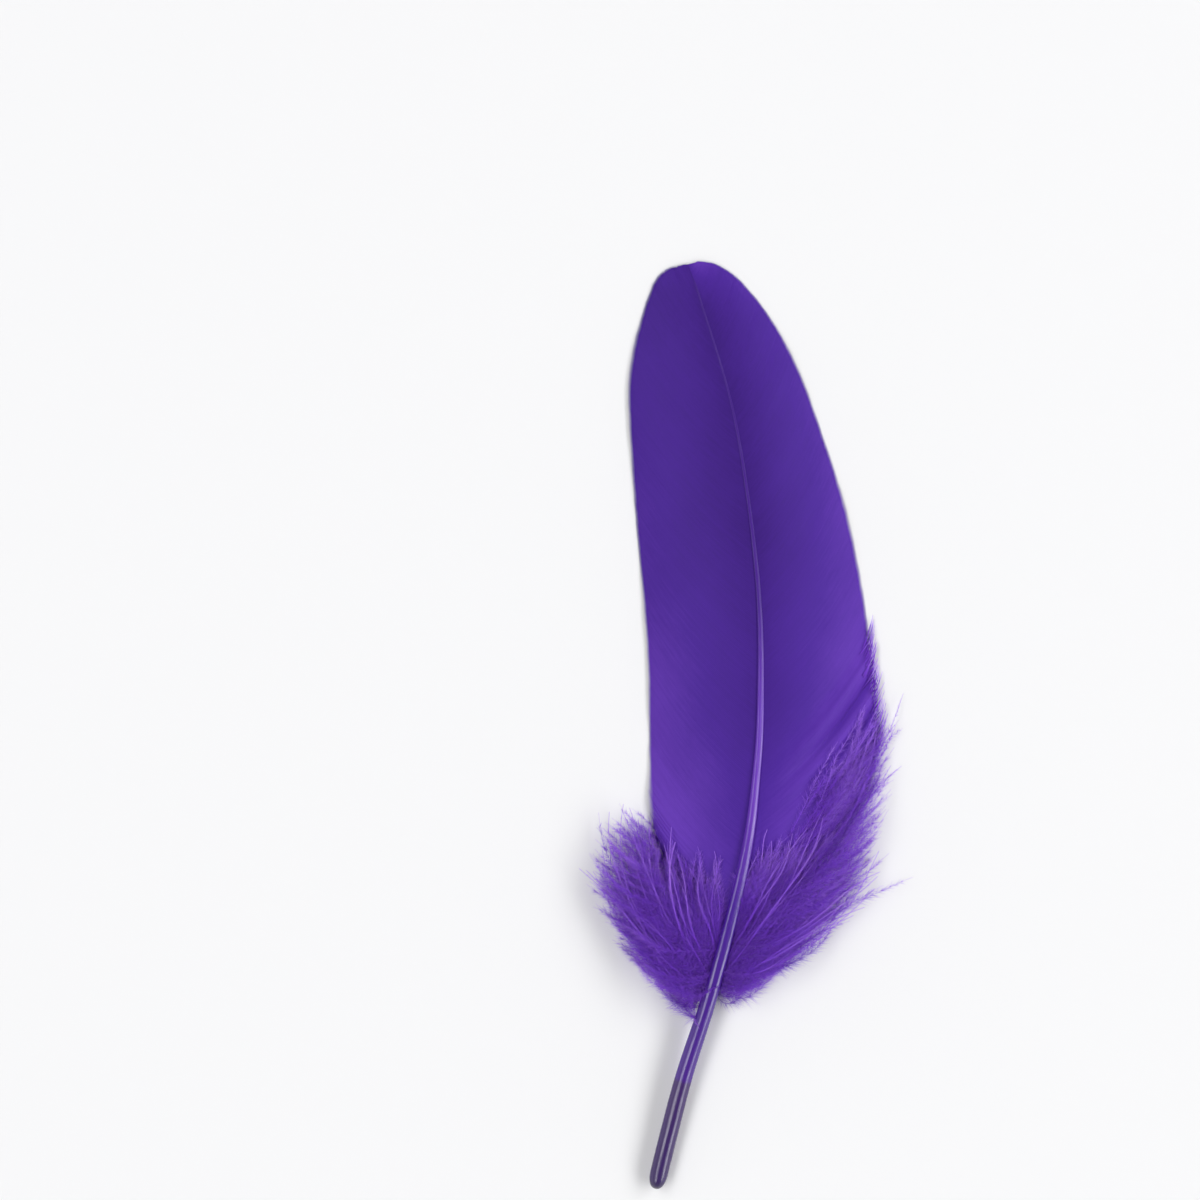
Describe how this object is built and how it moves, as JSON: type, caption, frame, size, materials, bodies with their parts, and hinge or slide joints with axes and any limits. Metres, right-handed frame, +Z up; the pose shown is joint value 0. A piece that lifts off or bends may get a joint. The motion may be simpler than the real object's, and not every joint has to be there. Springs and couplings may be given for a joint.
{
  "type": "goose quill feather",
  "caption": "A dyed goose feather lying outer side up: a long bare quill, a slender curved rachis, smooth vanes of unequal width and loose down at their foot.",
  "frame": {"origin": "on the surface that the feather lies on, under the middle of its box", "axes": "+Y from the quill's root end to the feather's tip, +Z up out of the surface and out of the feather's outer side, +X to the right when it is seen from above with its tip away from the viewer"},
  "size_m": [0.06, 0.1802, 0.009],
  "materials": {
    "dyed_feather": "satin"
  },
  "bodies": {
    "root": {"feather": "dyed_feather"}
  },
  "joints": []
}
